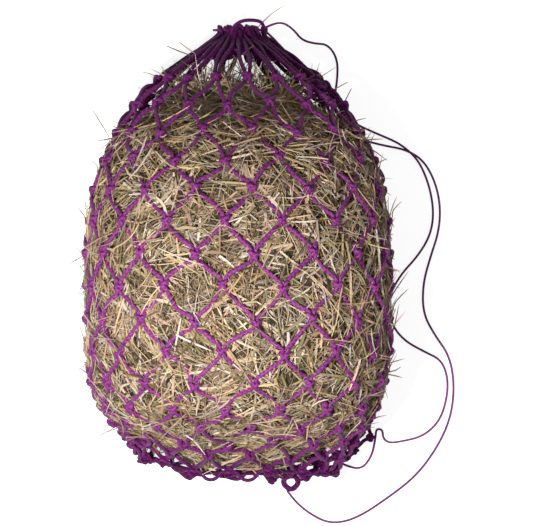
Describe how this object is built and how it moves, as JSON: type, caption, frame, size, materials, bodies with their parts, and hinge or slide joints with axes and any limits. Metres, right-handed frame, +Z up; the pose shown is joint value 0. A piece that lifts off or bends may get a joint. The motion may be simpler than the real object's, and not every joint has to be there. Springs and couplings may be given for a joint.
{
  "type": "hay net",
  "caption": "Filled hay net lying on its back: knotted diamond netting gathered on a draw cord, packed with hay, loose cord strands beside it.",
  "frame": {"origin": "middle of the filled net's footprint, on the floor that it lies on", "axes": "+Y from the base to the gathered mouth, +Z up from the floor, +X to the right seen from above with the mouth away"},
  "size_m": [0.5054, 0.6895, 0.3087],
  "materials": {
    "twine": "braided synthetic twine, satin",
    "draw_cord": "thin braided synthetic cord, satin",
    "hay": "dry meadow hay, matt with glossy straw stems"
  },
  "bodies": {
    "root": {"mouth_bights": "twine", "mouth_gather": "twine", "mouth_legs": "twine", "net_course_02": "twine", "net_course_03": "twine", "net_course_04": "twine", "net_course_05": "twine", "net_course_06": "twine", "net_course_07": "twine", "net_course_08": "twine", "net_course_09": "twine", "net_course_10": "twine", "net_course_11": "twine", "net_course_12": "twine", "net_course_13": "twine", "net_course_14": "twine", "net_course_15": "twine", "net_course_16": "twine", "net_knots_01": "twine", "net_knots_02": "twine", "net_knots_03": "twine", "net_knots_04": "twine", "net_knots_05": "twine", "net_knots_06": "twine", "net_knots_07": "twine", "net_knots_08": "twine", "net_knots_09": "twine", "net_knots_10": "twine", "net_knots_11": "twine", "net_knots_12": "twine", "net_knots_13": "twine", "net_knots_14": "twine", "net_knots_15": "twine", "net_knots_16": "twine", "draw_cord_in_mouth": "draw_cord", "draw_cord_tie": "draw_cord", "draw_cord_loop": "draw_cord", "draw_cord_short_strand": "draw_cord", "draw_cord_long_strand": "draw_cord", "base_cord": "draw_cord", "base_ring": "draw_cord", "base_ring_hitch": "draw_cord", "hay_core": "hay", "hay_bulges_under": "hay"}
  },
  "joints": []
}
